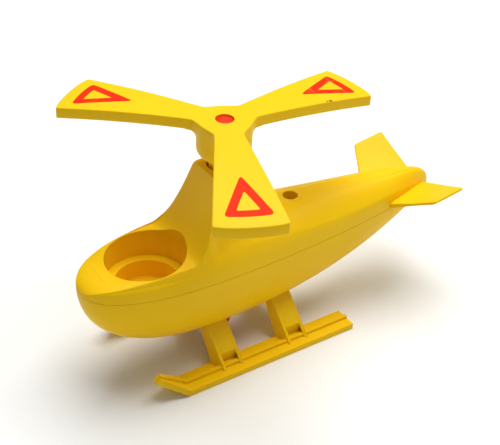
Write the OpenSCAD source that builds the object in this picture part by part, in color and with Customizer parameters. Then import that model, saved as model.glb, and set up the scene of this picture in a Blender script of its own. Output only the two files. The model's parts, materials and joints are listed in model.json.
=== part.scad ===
// Toy helicopter with a seat well for one round-based figure, a free-spinning
// three-blade rotor, a V tail and two skids. Millimetres, +Z up, nose to -Y,
// origin on the floor in the middle of the bounding box.

/* [View] */
// Sub-part to draw on its own, or all of them together

/* [Fuselage] */
// Rotor axis to the tip of the nose
nose_reach = 48; // [40:0.5:60]
// Rotor axis to the end of the tail
tail_reach = 79; // [60:0.5:100]
// Half of the greatest width, at the seam
half_width = 15; // [13:0.1:20]
// Seam height above the floor at the seat
seam_height = 33; // [28:0.1:38]
// How much the seam drops for each millimetre towards the tail
seam_slope = 0.03; // [0:0.005:0.08]
// Depth of the belly under the seam
belly_depth = 24.4; // [18:0.1:28]
// Wall thickness of both shells
wall = 1.8; // [1.2:0.1:2.5]
// Gap at the parting line between the two shells
seam_gap = 0.12; // [0.05:0.01:0.4]

/* [Seat] */
// Rotor axis to the centre of the seat well
seat_reach = 26.74; // [24:0.01:30]
// Radius of the seat well
seat_r = 12; // [11:0.1:13]
// Height of the seat ledge above the floor
ledge_height = 30.8; // [26:0.1:34]
// Wall of the skirt round the seat well
skirt_wall = 1; // [0.8:0.1:1.4]
// Radius of the cup below the ledge
cup_r = 9.28; // [8:0.01:11]
// Height of the cup floor
cup_floor = 24.6; // [20:0.1:28]

/* [Mast] */
// Height of the flat on top of the mast
mast_height = 61.7; // [55:0.1:66]
// Half width of that flat
mast_half = 6.8; // [6:0.1:9]
// Foot of the mast's front, along the body
mast_start = -18; // [-24:0.5:-12]
// Front edge of the flat
flat_start = -6.4; // [-9:0.1:-5]
// Rear edge of the flat
flat_end = 5.8; // [5:0.1:9]
// Foot of the mast's back, where the boom begins
boom_start = 20; // [14:0.5:28]
// Height of the boom over the seam where it begins
boom_rise = 11.2; // [8:0.1:14]
// Radius of the hole the rotor stem drops into
mast_hole_r = 4.95; // [4.4:0.05:5.5]
// Lean of the rotor axis, degrees
axis_lean = 1.64; // [0:0.01:5]
// Direction it leans in, degrees from +X
lean_towards = 52.4; // [0:0.1:360]

/* [Tail socket] */
// Rotor axis to the small socket on the boom
socket_reach = 23.5; // [20:0.1:30]
// Radius of the socket
socket_r = 2.4; // [2:0.1:3.5]
// Depth of the socket
socket_depth = 7; // [4:0.5:9]

/* [Rotor] */
// Height of the top of the hub above the floor
hub_top = 76.2; // [70:0.1:85]
// Radius of the hub
hub_r = 8; // [6:0.1:10]
// Height of the hub's side above the floor, where the underside rounds away
hub_side = 67.6; // [64:0.1:72]
// Radius of the stem under the hub
stem_r = 4.3; // [3.6:0.1:4.8]
// Height of the end of the stem
stem_low = 50; // [46:0.5:58]
// Radius at the blade tips
rotor_r = 49.45; // [40:0.05:60]
// Direction of the first blade at rest, degrees from +X
blade_phase = -23.5; // [-60:0.5:60]
// Number of blades
blade_count = 3; // [2:1:5]
// Half width of a blade where it leaves the hub
blade_root = 4; // [3:0.1:6]
// Half width of a blade at its tip
blade_tip = 10.2; // [6:0.1:12]
// Thickness of a blade
blade_t = 3.4; // [2:0.1:5]
// How far the tips hang below the hub
blade_droop = 3; // [0:0.1:6]
// Radius of the rotor shaft
shaft_r = 2; // [1.5:0.05:3]
// Radial running clearance of the shaft in its guides
shaft_play = 0.08; // [0.01:0.01:0.1]
// Radius of the shaft's head
head_r = 2.72; // [2:0.01:4]
// Radius of the finger knob under the belly
knob_r = 3.9; // [3:0.1:6]

/* [Blade labels] */
// Radius of the label's point
label_in = 28.4; // [20:0.1:35]
// Radius of the label's far edge
label_out = 45.2; // [40:0.1:47]
// Half width of the label's far edge
label_half = 6.6; // [4:0.1:8]
// Width of the label's border
label_border = 2.2; // [1:0.1:4]

/* [Tail fins] */
// Half span of the two fins
fin_span = 21; // [15:0.1:30]
// Thickness at the root
fin_root_t = 3.2; // [1.2:0.1:4]
// Thickness at the tip
fin_tip_t = 1.3; // [0.8:0.1:2]

/* [Skids] */
// Inner edge of a ski, from the centre line
ski_in = 13.1; // [10:0.1:18]
// Outer edge of a ski, from the centre line
ski_out = 21; // [18:0.1:26]
// Thickness of a ski
ski_t = 1.9; // [1.2:0.1:3]
// Where the ski starts to turn up, in front of the rotor axis
knee_reach = 24; // [18:0.5:30]
// Rear end of the ski, behind the rotor axis
ski_rear = 35; // [25:0.5:45]
// Length of the turned-up tip
tip_length = 11.2; // [6:0.1:16]
// Half width of the tip at its end
tip_half = 1.4; // [1:0.1:4]
// Angle of the turned-up tip
tip_angle = 36; // [20:1:60]
// Width of the rail along the top of the ski
rail_w = 1.3; // [0.8:0.1:2]
// Height of the rail
rail_h = 0.9; // [0.4:0.1:2]
// Front of the front strut, behind the rotor axis when positive
strut_front = -11.4; // [-20:0.1:0]
// Front of the rear strut
strut_rear = 12.2; // [5:0.1:25]
// Width of a strut along the ski
strut_w = 6.9; // [5:0.1:10]
// Thickness of the strut's two flanges
flange_t = 1.1; // [0.8:0.1:2]
// How much the flanges spread towards the inside, degrees
flange_spread = 24; // [0:1:40]

/* [Hidden] */
$fn = 64;
label_rise = 0.07;
label_sink = 0.1;
blade_edge = 0.45;
guide_wall = 1.2;
seat_wall = 1.4;
post_y = 44;
post_r = 3;
pin_r = 1.75;
foot_x = 19;
corner_angle = asin(blade_tip / rotor_r);
mid_x = rotor_r * (cos(blade_phase + corner_angle) - cos(blade_phase + 60 - corner_angle)) / 2;
mid_y = (tail_reach - nose_reach) / 2;
half_points = 12;
// stations along the body: [start, end, steps] for nose, mast and boom
ranges_top = [[-nose_reach, -20, 10], [-20, 22, 21], [22, tail_reach, 13]];
ranges_low = [[-nose_reach, -20, 9], [-20, 22, 7], [22, tail_reach, 12]];
plastic = [0.93, 0.78, 0.05];
plastic_low = [0.90, 0.74, 0.04];
red = [0.90, 0.15, 0.07];
label_red = [0.93, 0.20, 0.10];

// ---- shape of the fuselage, as functions of y ----

function unit(t) = max(0, min(1, t));
function mix(a, b, t) = a + (b - a) * t;
function seam_z(y) = seam_height - seam_slope * (y + 25);

// half width at the seam
function half_at(y) = y < -12
    ? half_width * pow(max(0, 1 - pow(unit((-12 - y) / (nose_reach - 12)), 2.3)), 1 / 2.3)
    : half_width * pow(max(0, 1 - pow(unit((y + 12) / (tail_reach + 12)), 1.7)), 0.68);

// depth of the belly under the seam
function keel_at(y) = y < -8
    ? belly_depth * pow(max(0, 1 - pow(unit((-8 - y) / (nose_reach - 8)), 2.4)), 1 / 2.4)
    : belly_depth * max(0, 1 - pow(unit((y + 8) / (tail_reach + 8)), 2.3));

// height of the shoulder over the seam, fullest beside the mast
function bulge(y) = exp(-pow((y - 3) / (y < 3 ? 14 : 24), 2));
function nose_fade(y) = pow(max(0, 1 - pow(unit((-31 - y) / (nose_reach - 31)), 2.6)), 0.5);
function tail_fade(y) = pow(max(0, 1 - pow(unit((y - 40) / (tail_reach - 40)), 3)), 0.5);
function shoulder_h(y) = (4.3 + 0.8 * unit((y + 34) / 30) + 2.8 * bulge(y))
    * nose_fade(y) * tail_fade(y);
function shoulder_x(y) = half_at(y) * (0.945 - 0.05 * bulge(y));

// top line: deck, front of the mast, flat, back of the mast, boom
function deck_h(y) = (5.0 + 2.6 * unit((y + 40) / 22)) * nose_fade(y);
function boom_u(y) = unit((y - boom_start) / (tail_reach - boom_start));
function boom_h(y) = (boom_rise - 4 * pow(boom_u(y), 1.3)) * pow(max(0, 1 - pow(boom_u(y), 14)), 0.45);
function front_u(y) = (y - mast_start) / (flat_start - mast_start);
function back_u(y) = (boom_start - y) / (boom_start - flat_end);
function top_z(y) =
    y < mast_start ? seam_z(y) + deck_h(y)
    : y < flat_start ? mix(seam_z(y) + deck_h(y), mast_height, pow(front_u(y), 1.8))
    : y < flat_end ? mast_height
    : y < boom_start ? mix(seam_z(y) + boom_h(y), mast_height, pow(back_u(y), 2.2))
    : seam_z(y) + boom_h(y);
function top_x(y) =
    y < mast_start ? shoulder_x(y) * 0.9
    : y < flat_start ? mix(shoulder_x(mast_start) * 0.9, mast_half, pow(front_u(y), 1.6))
    : y < 0 ? mast_half
    : y < 12 ? mix(mast_half, 3.6, y / 12)
    : 3.6 * half_at(y) / half_at(12);

// how far the front of the mast and the deck bow across the middle
function crown_at(y) = exp(-pow((y + 17) / 7.5, 2)) + 0.25 * unit((-20 - y) / 10) * nose_fade(y);

// control points of half a section, from the seam to the centre line
function outline(y, t) =
    let (w = max(0.02, half_at(y) - t),
         zs = seam_z(y),
         zh = max(0.02, shoulder_h(y) - t * 0.6),
         xs = min(w * 0.99, max(0.015, shoulder_x(y) - t)),
         xm = min(xs * 0.95, max(0.01, top_x(y) - t)),
         near = t > 0.5 ? 1.5 : 0,
         zt = min(top_z(y - near), top_z(y), top_z(y + near)),
         zm = max(zs + zh * 1.04, zt - t),
         rise = zm - zs - zh,
         k = unit((rise - 4) / 10),
         dx = xs - xm)
    [[w, zs], [w - 0.15 * (w - xs), zs + 0.5 * zh], [mix(w, xs, 0.75), zs + 0.88 * zh],
     [xs - 0.03 * w, zs + zh + 0.03 * rise],
     [xs - mix(0.34, 0.46, k) * dx, zs + zh + mix(0.5, 0.12, k) * rise],
     [xs - mix(0.7, 0.86, k) * dx, zs + zh + mix(0.86, 0.48, k) * rise],
     [xm + 0.03 * w, zm - 0.045 * rise - 0.15 * min(1, zh) - 1.1 * crown_at(y)],
     [xm * 0.88, zm - 0.004 * rise - 0.8 * crown_at(y)],
     [xm * 0.4, zm],
     [0, zm]];

// quadratic spline through the middles of the legs of a polygon, point number u
function spline(p, u) =
    let (n = len(p) - 2,
         i = min(n - 1, floor(u * n)),
         f = u * n - i,
         a = i == 0 ? p[0] : (p[i] + p[i + 1]) / 2,
         b = p[i + 1],
         c = i == n - 1 ? p[n + 1] : (p[i + 1] + p[i + 2]) / 2)
    a * (1 - f) * (1 - f) + b * 2 * f * (1 - f) + c * f * f;

function upper_row(y, t) =
    let (p = outline(y, t), q = concat(p, [for (i = [len(p) - 2:-1:0]) [-p[i][0], p[i][1]]]))
    [for (j = [0:2 * half_points]) spline(q, j / (2 * half_points))];
function belly_row(y, t) =
    let (w = max(0.02, half_at(y) - t), b = max(0.02, keel_at(y) - t))
    [for (j = [0:2 * half_points])
        let (a = 180 * j / (2 * half_points))
        [w * cos(a), seam_z(y) - b * sin(a)]];

// stations crowd towards both ends; the two end ranges can be shortened
function station_list(ranges, cut_front, cut_back) =
    let (f = ranges[0], m = ranges[1], b = ranges[2])
    concat([for (i = [0:f[2] - 1]) mix(f[0] + cut_front, f[1], 1 - cos(90 * i / f[2]))],
           [for (i = [0:m[2] - 1]) mix(m[0], m[1], i / m[2])],
           [for (i = [0:b[2]]) mix(b[0], b[1] - cut_back, sin(90 * i / b[2]))]);

// A thin shell: outer skin, inner skin and the flat rim between them.
// The rim lies on the seam, moved by lift.
module skin(upper, lift, solid_offset = -1) {
    n = 2 * half_points + 1;
    solid = solid_offset >= 0;
    t_out = solid ? solid_offset : 0;
    ranges = upper ? ranges_top : ranges_low;
    rows_out = station_list(ranges, 0.02 + t_out, 0.02 + t_out);
    rows_in = station_list(ranges, wall, 2 * wall);
    stations = len(rows_out) - 1;
    outer = [for (y = rows_out)
        for (p = (upper ? upper_row(y, t_out) : belly_row(y, t_out))) [p[0], y, p[1] + lift]];
    inner = [for (y = rows_in)
        for (p = (upper ? upper_row(y, wall) : belly_row(y, wall))) [p[0], y, p[1] + lift]];
    m = len(outer);
    flip = upper ? 1 : -1;
    function tri(a, b, c) = flip > 0 ? [a, b, c] : [a, c, b];
    skin_out = [for (i = [0:stations - 1]) for (j = [0:n - 2])
        let (a = i * n + j, b = a + 1, c = a + n, d = c + 1)
        for (f = [tri(a, b, c), tri(b, d, c)]) f];
    skin_in = [for (i = [0:stations - 1]) for (j = [0:n - 2])
        let (a = m + i * n + j, b = a + 1, c = a + n, d = c + 1)
        for (f = [tri(a, c, b), tri(b, c, d)]) f];
    rim = [for (i = [0:stations - 1])
        let (a = i * n, b = (i + 1) * n, c = m + a, d = m + b,
             e = a + n - 1, g = b + n - 1, h = c + n - 1, k = d + n - 1)
        for (f = [tri(a, b, c), tri(b, d, c), tri(e, h, g), tri(g, h, k)]) f];
    e0 = stations * n;
    m0 = m + e0;
    ends = concat(
        [for (j = [1:n - 2]) for (f = [tri(0, j + 1, j), tri(m, m + j, m + j + 1),
            tri(e0, e0 + j, e0 + j + 1), tri(m0, m0 + j + 1, m0 + j)]) f],
        [tri(0, m, m + n - 1), tri(0, m + n - 1, n - 1),
         tri(e0, e0 + n - 1, m0 + n - 1), tri(e0, m0 + n - 1, m0)]);
    floor_in = [for (i = [0:stations - 1])
        let (a = i * n, b = a + n - 1, c = a + n, d = c + n - 1)
        for (f = [tri(a, c, b), tri(c, d, b)]) f];
    caps = [for (j = [1:n - 2])
        for (f = [tri(0, j + 1, j), tri(e0, e0 + j, e0 + j + 1)]) f];
    if (solid)
        polyhedron(points = outer, faces = concat(skin_out, floor_in, caps), convexity = 6);
    else
        polyhedron(points = concat(outer, inner),
                   faces = concat(skin_out, skin_in, rim, ends), convexity = 8);
}

// leans its children with the rotor axis, about the top of the hub
module on_axis() {
    translate([0, 0, hub_top])
        rotate([0, 0, lean_towards])
            rotate([0, axis_lean, 0])
                rotate([0, 0, -lean_towards])
                    translate([0, 0, -hub_top])
                        children();
}

// everything is modelled about the rotor axis, then moved to the middle of the box
module place() {
    translate([-mid_x, -mid_y, 0])
        children();
}

module upper_shell() {
    color(plastic)
        place()
            difference() {
                union() {
                    skin(true, seam_gap / 2);
                    // seat skirt: trimmed to the deck above, slimmer below the seam
                    intersection() {
                        translate([0, -seat_reach, seam_height - 3])
                            cylinder(r = seat_r + seat_wall, h = 20);
                        skin(true, 0.3, 0.35);
                    }
                    translate([0, -seat_reach, ledge_height + 0.05])
                        cylinder(r = seat_r + skirt_wall, h = 4.5);
                    // guide tube inside the mast
                    on_axis() {
                        translate([0, 0, 36])
                            cylinder(r = mast_hole_r + guide_wall, h = mast_height - 37);
                    }
                    // tail socket with its lip
                    translate([0, socket_reach, 33.4])
                        cylinder(r = socket_r + 0.9, h = 9.4);
                    // boss that takes the belly's rear post
                    translate([0, post_y, 33])
                        cylinder(r = post_r + 0.4, h = 6.5);
                }
                translate([0, -seat_reach, 20])
                    cylinder(r = seat_r, h = 40);
                on_axis() {
                    translate([0, 0, 48])
                        cylinder(r = mast_hole_r, h = 30);
                    translate([0, 0, 30])
                        cylinder(r = shaft_r + shaft_play, h = 30);
                }
                translate([0, socket_reach, 42.8 - socket_depth])
                    cylinder(r = socket_r, h = 20);
                translate([0, post_y, 30])
                    cylinder(r = pin_r + 0.05, h = 7.5);
                fin_body(0.1);
            }
}

module belly_shell() {
    color(plastic_low)
        place()
            difference() {
                union() {
                    skin(false, -seam_gap / 2);
                    // seat cup with its ledge
                    translate([0, -seat_reach, cup_floor - 1.6])
                        cylinder(r = cup_r + seat_wall, h = ledge_height - cup_floor);
                    translate([0, -seat_reach, ledge_height - seat_wall])
                        cylinder(r = seat_r + skirt_wall, h = seat_wall);
                    // post under the cup
                    translate([0, -seat_reach, 11])
                        cylinder(r = post_r, h = cup_floor - 12);
                    // guide tube for the shaft
                    on_axis() {
                        translate([0, 0, 8.6])
                            cylinder(r = shaft_r + 2.6, h = 22);
                    }
                    // rear post
                    translate([0, post_y, 14.6])
                        cylinder(r = post_r, h = 15.6);
                    translate([0, post_y, 20])
                        cylinder(r = pin_r, h = 16.8);
                }
                translate([0, -seat_reach, cup_floor])
                    cylinder(r = cup_r, h = 20);
                // relief for the seat skirt
                translate([0, -seat_reach, ledge_height])
                    cylinder(r = seat_r + skirt_wall + 0.1, h = 10);
                on_axis() {
                    translate([0, 0, 1])
                        cylinder(r = shaft_r + shaft_play, h = 40);
                }
                fin_body(0.1);
            }
}

// V tail: stations across the span, each an eight-point section
module fin_body(clear) {
    xs = [0, 2.2, 7, 14, fin_span];
    function lead_y(x) = 57 + (x - 7) * 0.507;
    function lead_z(x) = 31 + (x - 7) * 0.471;
    function trail_y(x) = x < 1 ? 73 : 75.4;
    function trail_z(x) = 30.5 + (x - 2) * 0.524;
    function section(x) =
        let (a = abs(x),
             t = mix(fin_root_t, fin_tip_t, unit((a - 4) / 10)) / 2 + clear,
             y0 = lead_y(a) - clear, y1 = trail_y(a) + clear,
             z0 = lead_z(a), z1 = mix(lead_z(a), trail_z(a), (y1 - y0) / 19))
        [for (q = [[0, 0.45], [0.07, 1], [0.93, 1], [1, 0.45],
                   [1, -0.45], [0.93, -1], [0.07, -1], [0, -0.45]])
            [x, mix(y0, y1, q[0]), mix(z0, z1, q[0]) + q[1] * t]];
    row = concat([for (i = [len(xs) - 1:-1:1]) -xs[i]], xs);
    pts = [for (x = row) for (p = section(x)) p];
    n = len(row);
    faces = concat(
        [for (i = [0:n - 2]) for (j = [0:7])
            let (a = i * 8 + j, b = i * 8 + (j + 1) % 8, c = a + 8, d = b + 8)
            for (f = [[a, b, c], [b, d, c]]) f],
        [for (j = [1:6]) [0, j + 1, j]],
        [for (j = [1:6]) let (e = (n - 1) * 8) [e, e + j, e + j + 1]]);
    polyhedron(points = pts, faces = faces, convexity = 4);
}

module tail_fins() {
    color(plastic)
        place()
            fin_body(0);
}

// a channel open to the outside: two flanges that spread inwards, and a web.
// The root passes into the belly's wall.
module strut(y0) {
    foot = [foot_x, ski_t];
    root = [6.2, 14.4];
    run = root - foot;
    for (end = [0, 1])
        translate([foot[0], y0 + end * strut_w, foot[1]])
            rotate(a = (end == 0 ? 1 : -1) * flange_spread, v = [run[0], 0, run[1]])
                translate([-foot[0], end == 0 ? flange_t : 0, -foot[1]])
                    rotate([90, 0, 0])
                        linear_extrude(height = flange_t)
                            polygon([root, foot, [foot_x, ski_t - 0.6], [ski_in + 0.1, ski_t - 1.2],
                                     [ski_in - 0.4, ski_t + 0.6], [4.6, 12.4]]);
    translate([0, y0 + strut_w - flange_t * 0.6, 0])
        rotate([90, 0, 0])
            linear_extrude(height = strut_w - 1.2 * flange_t)
                polygon([[5.2, 13.2], [6.1, 14.2], [14.9, 5.4], [14.9, ski_t - 0.4],
                         [13.8, ski_t - 0.4], [13.8, 4.9]]);
}

module skid() {
    w = ski_out - ski_in;
    mid = (ski_in + ski_out) / 2;
    // sole
    translate([ski_in, -knee_reach, 0])
        cube([w, ski_rear + knee_reach, ski_t]);
    // rail
    translate([mid - rail_w / 2, -knee_reach - 0.3, ski_t - 0.1])
        cube([rail_w, ski_rear + knee_reach + 0.3, rail_h + 0.1]);
    // bend
    intersection() {
        translate([ski_in, -knee_reach, ski_t])
            rotate([0, 90, 0])
                cylinder(r = ski_t, h = w);
        translate([ski_in, -knee_reach - ski_t, 0])
            cube([w, 2 * ski_t, ski_t]);
    }
    // turned-up tip, narrowing to a rounded end
    translate([mid, -knee_reach, ski_t])
        rotate([-tip_angle, 0, 0]) {
            translate([0, 0, -ski_t])
                linear_extrude(height = ski_t)
                    polygon(concat(
                        [[w / 2, 0], [w / 2 - 0.1, -0.1 * tip_length]],
                        [for (a = [0:15:180])
                            [tip_half * sign(cos(a)) * pow(abs(cos(a)), 0.6),
                             0.8 * (1 - pow(sin(a), 0.6)) - tip_length]],
                        [[0.1 - w / 2, -0.1 * tip_length], [-w / 2, 0]]));
            translate([-rail_w / 2, -tip_length + 0.2, -0.1])
                cube([rail_w, tip_length - 0.2, rail_h + 0.1]);
        }
    strut(strut_front);
    strut(strut_rear);
}

module skid_left() {
    color(plastic)
        place()
            skid();
}

module skid_right() {
    color(plastic)
        place()
            mirror([1, 0, 0])
                skid();
}

// ---- rotor ----

function droop(r) = blade_droop * pow(unit(r / rotor_r), 2);
function blade_half(x) = mix(blade_root, blade_tip, (x - hub_r) / (rotor_r - hub_r));
function tip_x(v) =
    let (e = unit((abs(v) - 0.92) / 0.08))
    sqrt(rotor_r * rotor_r - pow(v * blade_tip, 2)) - 0.8 * (1 - sqrt(1 - e * e));

module blade() {
    rows = 9;
    cols = 10;
    // a point of the blade: s along it, v across it, z down from the top face
    function at(s, v, z, inset) =
        let (x = 4 + s * (tip_x(v) - inset - 4), y = v * (blade_half(x) - inset))
        [x, y, hub_top - droop(norm([x, y])) - z];
    loop_v = [for (j = [0:cols]) -1 + 2 * j / cols];
    top = [for (i = [0:rows]) for (v = loop_v) at(i / rows, v, 0, blade_edge)];
    side_a = [for (i = [0:rows]) for (v = loop_v) at(i / rows, v, blade_edge, 0)];
    side_b = [for (i = [0:rows]) for (v = loop_v) at(i / rows, v, blade_t - blade_edge, 0)];
    low = [for (i = [0:rows]) for (v = loop_v) at(i / rows, v, blade_t, blade_edge)];
    n = cols + 1;
    m = len(top);
    edge = concat([for (j = [0:cols - 1]) j], [for (i = [0:rows - 1]) i * n + cols],
                  [for (j = [cols:-1:1]) rows * n + j], [for (i = [rows:-1:1]) i * n]);
    k = len(edge);
    face_top = [for (i = [0:rows - 1]) for (j = [0:cols - 1])
        let (a = i * n + j, b = a + 1, c = a + n, d = c + 1)
        for (f = [[a, b, c], [b, d, c]]) f];
    face_low = [for (f = face_top) [f[0] + 3 * m, f[2] + 3 * m, f[1] + 3 * m]];
    walls = [for (l = [0:2]) for (q = [0:k - 1])
        let (a = edge[q] + l * m, b = edge[(q + 1) % k] + l * m, c = a + m, d = b + m)
        for (f = [[a, c, b], [b, c, d]]) f];
    polyhedron(points = concat(top, side_a, side_b, low),
               faces = concat(face_top, face_low, walls), convexity = 4);
}

module rotor() {
    color(plastic)
        place()
            on_axis()
                difference() {
                    union() {
                        rotate_extrude()
                            polygon(concat(
                                [[0, stem_low], [stem_r - 0.3, stem_low], [stem_r, stem_low + 0.4]],
                                [for (a = [0:15:90])
                                    [mix(stem_r, hub_r, sin(a)), hub_side - 3.6 * cos(a)]],
                                [[hub_r, hub_top - 0.6], [hub_r - 0.18, hub_top - 0.18],
                                 [hub_r - 0.6, hub_top], [0, hub_top]]));
                        for (i = [0:blade_count - 1])
                            rotate([0, 0, blade_phase + 360 * i / blade_count])
                                blade();
                    }
                    translate([0, 0, 40])
                        cylinder(r = shaft_r + 0.02, h = 60);
                    translate([0, 0, hub_top - 2])
                        cylinder(r = head_r + 0.06, h = 10);
                }
}

module rotor_shaft() {
    color(red)
        place()
            on_axis()
                rotate_extrude()
                    polygon([[0, 3.2], [shaft_r - 0.3, 3.2], [shaft_r, 3.5],
                             [shaft_r, hub_top - 1.98], [head_r, hub_top - 1.98],
                             [head_r, hub_top - 0.65], [head_r - 0.5, hub_top - 0.45],
                             [1.2, hub_top - 0.32], [0, hub_top - 0.28]]);
}

module finger_knob() {
    color(red)
        place()
            on_axis()
                rotate_extrude()
                    polygon([[0, 0.9], [1.2, 0.95], [1.7, 1.2], [2.3, 1.9], [3.2, 3.3], [3.7, 4.6],
                             [knob_r, 5.7], [knob_r, 6.5], [3.5, 7.1], [2.9, 7.3],
                             [shaft_r + 0.02, 7.3], [shaft_r + 0.02, 3.1], [0, 3.1]]);
}

// outline of a flat triangle, every corner rounded off over the distance r
function toward(q, p) = (p - q) / norm(p - q);
function rounded_triangle(p, r) =
    [for (i = [0:2])
        let (q = p[i], d0 = toward(q, p[(i + 2) % 3]), d1 = toward(q, p[(i + 1) % 3]))
        for (f = [0, 0.5, 1])
            (q + d0 * r) * (1 - f) * (1 - f) + q * 2 * f * (1 - f) + (q + d1 * r) * f * f];

module label() {
    ri = label_in;
    ro = label_out;
    base_x = sqrt(ro * ro - label_half * label_half);
    outer = rounded_triangle([[ri, 0], [base_x, -label_half], [base_x, label_half]], 1.6);
    inner = rounded_triangle([[ri + 3 * label_border, 0],
                              [base_x - label_border, -label_half + 1.55 * label_border],
                              [base_x - label_border, label_half - 1.55 * label_border]], 0.8);
    // split every leg so that the film follows the blade
    function dense(p) = [for (i = [0:len(p) - 1]) for (f = [0:0.25:0.75])
        p[i] * (1 - f) + p[(i + 1) % len(p)] * f];
    a = dense(outer);
    b = dense(inner);
    n = len(a);
    function bow(q) = [q[0] + 0.55 * pow(unit((q[0] - ri) / (base_x - ri)), 3)
                              * (1 - pow(q[1] / label_half, 2)), q[1]];
    function lifted(q, z) =
        let (w = bow(q))
        [w[0], w[1], hub_top - droop(norm(w)) + z];
    pts = concat([for (q = a) lifted(q, label_rise)], [for (q = b) lifted(q, label_rise)],
                 [for (q = a) lifted(q, -label_sink)], [for (q = b) lifted(q, -label_sink)]);
    faces = [for (i = [0:n - 1])
        let (j = (i + 1) % n)
        for (f = [[i, n + i, j], [j, n + i, n + j],
                  [2 * n + i, 2 * n + j, 3 * n + i], [2 * n + j, 3 * n + j, 3 * n + i],
                  [i, j, 2 * n + i], [j, 2 * n + j, 2 * n + i],
                  [n + i, 3 * n + i, n + j], [n + j, 3 * n + i, 3 * n + j]]) f];
    polyhedron(points = pts, faces = faces, convexity = 4);
}

module label_on(i) {
    color(label_red)
        place()
            on_axis()
                rotate([0, 0, blade_phase + 360 * i / blade_count])
                    label();
}

module blade_label_1() {
    label_on(0);
}

module blade_label_2() {
    label_on(1);
}

module blade_label_3() {
    label_on(2);
}

upper_shell();
belly_shell();
tail_fins();
skid_left();
skid_right();
rotor();
rotor_shaft();
finger_knob();
blade_label_1();
blade_label_2();
blade_label_3();
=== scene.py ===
import json
from math import asin, cos, pi, radians, sin

import bmesh
import bpy
import numpy as np
from mathutils import Matrix, Vector


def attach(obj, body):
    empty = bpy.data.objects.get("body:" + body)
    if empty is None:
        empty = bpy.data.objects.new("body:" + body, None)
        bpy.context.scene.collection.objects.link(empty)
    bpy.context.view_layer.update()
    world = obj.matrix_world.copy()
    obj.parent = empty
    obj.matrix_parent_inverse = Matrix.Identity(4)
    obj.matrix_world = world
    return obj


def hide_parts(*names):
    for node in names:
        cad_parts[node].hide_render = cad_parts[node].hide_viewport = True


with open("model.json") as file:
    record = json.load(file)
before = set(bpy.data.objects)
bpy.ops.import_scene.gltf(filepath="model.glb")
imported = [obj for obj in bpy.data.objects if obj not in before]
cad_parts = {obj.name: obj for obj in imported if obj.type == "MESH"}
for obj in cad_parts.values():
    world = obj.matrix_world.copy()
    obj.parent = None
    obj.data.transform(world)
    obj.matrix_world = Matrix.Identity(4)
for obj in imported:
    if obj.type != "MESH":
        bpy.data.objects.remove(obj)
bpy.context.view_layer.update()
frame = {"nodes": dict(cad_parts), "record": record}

# everything below is worked out in millimetres about the rotor axis, which stands at axisX, axisY
axisX, axisY, hubTop = [1000 * v for v in frame["record"]["behaviour"]["joints"][0]["pos_m"]]
axisDir = Vector(frame["record"]["behaviour"]["joints"][0]["axis"]).normalized()
axisTurn = np.array(Vector((0, 0, 1)).rotation_difference(axisDir).to_matrix())
print("frame loaded, hub top at", round(hubTop, 2), "mm")


# small helpers for meshes

def unit(t):
    return np.clip(t, 0.0, 1.0)


def mix(a, b, t):
    return a + (b - a) * t


# quads between neighbouring rows of a grid; closed joins the last column to the first
def gridFaces(rows, cols, start=0, closed=False, flip=False):
    i, j = np.meshgrid(np.arange(rows - 1), np.arange(cols if closed else cols - 1), indexing="ij")
    k = (j + 1) % cols
    quads = np.stack([i * cols + j, i * cols + k, (i + 1) * cols + k, (i + 1) * cols + j], axis=-1)
    quads = quads.reshape(-1, 4) + start
    return quads[:, ::-1] if flip else quads


# points in millimetres about the rotor axis, faces as a list of index lists
def makeMesh(name, points, faces):
    mesh = bpy.data.meshes.new(name)
    placed = (np.asarray(points, dtype=float) + [axisX, axisY, 0]) * 0.001
    mesh.from_pydata(placed.tolist(), [], [list(map(int, f)) for f in faces])
    mesh.validate()
    obj = bpy.data.objects.new(name, mesh)
    bpy.context.scene.collection.objects.link(obj)
    return obj


# merges doubles and turns the faces outwards
def tidyMesh(obj, mergeBy=0.00001):
    work = bmesh.new()
    work.from_mesh(obj.data)
    bmesh.ops.remove_doubles(work, verts=work.verts, dist=mergeBy)
    bmesh.ops.dissolve_degenerate(work, edges=work.edges, dist=mergeBy * 0.5)
    bmesh.ops.recalc_face_normals(work, faces=work.faces)
    work.to_mesh(obj.data)
    work.free()


# joins, cuts or intersects obj with other, and throws other away
def combine(obj, other, operation):
    step = obj.modifiers.new(operation.lower(), "BOOLEAN")
    step.operation = operation
    step.solver = "MANIFOLD"
    step.object = other
    graph = bpy.context.evaluated_depsgraph_get()
    result = bpy.data.meshes.new_from_object(obj.evaluated_get(graph))
    obj.modifiers.clear()
    obj.data = result
    bpy.data.objects.remove(other)


# smooth shading, with edges sharper than angle degrees kept crisp
def smoothBy(obj, angle):
    obj.data.polygons.foreach_set("use_smooth", [True] * len(obj.data.polygons))
    obj.data.set_sharp_from_angle(angle=radians(angle))


# solid of revolution about Z: every (r, z) of the profile turned through a circle
def lathe(name, profile, steps=96, centre=(0, 0)):
    r, z = np.array(profile, dtype=float).T
    a = np.linspace(0, 2 * pi, steps, endpoint=False)
    x = centre[0] + r[:, None] * np.cos(a)
    y = centre[1] + r[:, None] * np.sin(a)
    points = np.stack([x, y, np.repeat(z[:, None], steps, axis=1)], axis=-1).reshape(-1, 3)
    faces = gridFaces(len(r), steps, closed=True).tolist()
    obj = makeMesh(name, points, faces)
    tidyMesh(obj)
    return obj


# points (r, z) along a round corner of a profile, angles in degrees
def arc(cx, cz, r, a0, a1, n=6):
    a = np.radians(np.linspace(a0, a1, n))
    return [(cx + r * c, cz + r * s) for c, s in zip(np.cos(a), np.sin(a))]


# leans points with the rotor axis, about the top of the hub
def leaned(points):
    hub = np.array([0, 0, hubTop])
    return (np.asarray(points, dtype=float) - hub) @ axisTurn.T + hub


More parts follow.
